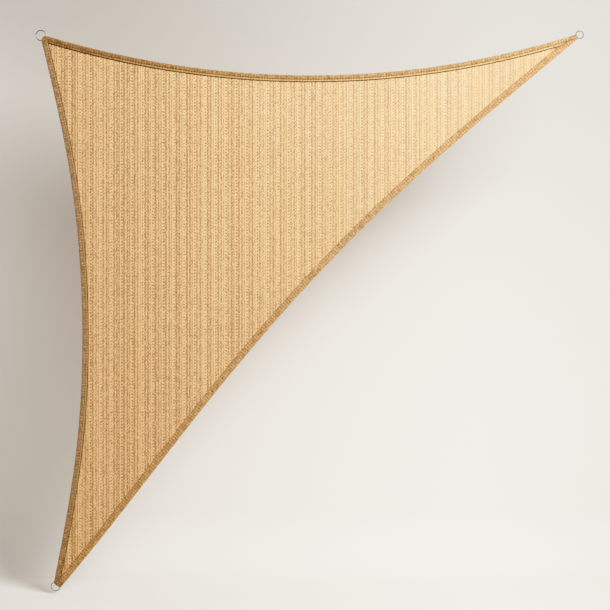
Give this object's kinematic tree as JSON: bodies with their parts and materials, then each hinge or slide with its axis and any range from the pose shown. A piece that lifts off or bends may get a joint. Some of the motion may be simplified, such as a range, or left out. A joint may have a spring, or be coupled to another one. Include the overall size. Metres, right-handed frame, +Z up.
{
  "type": "shade sail",
  "caption": "Right-angled triangular shade sail of ribbed knitted cloth, with inward-bowed edges bound in folded tape and a round steel ring held in a sewn loop at each corner.",
  "frame": {"origin": "middle of the top left ring", "axes": "+X along the top edge towards the top right ring, +Z up the left edge, -Y out of the front of the cloth"},
  "size_m": [3.0443, 0.0086, 3.115],
  "materials": {
    "sail_cloth": "matt ribbed knit of sand-coloured plastic yarn",
    "binding_tape": "matt woven tape with fine cross ribs",
    "corner_tape": "matt woven tape, doubled and sewn",
    "ring_steel": "polished round steel wire"
  },
  "bodies": {
    "root": {"sail_panel": "sail_cloth", "binding_top": "binding_tape", "binding_left": "binding_tape", "binding_long": "binding_tape", "corner_loop_top_left": "corner_tape", "corner_loop_top_right": "corner_tape", "corner_loop_bottom": "corner_tape", "ring_top_left": "ring_steel", "ring_top_right": "ring_steel", "ring_bottom": "ring_steel"}
  },
  "joints": []
}
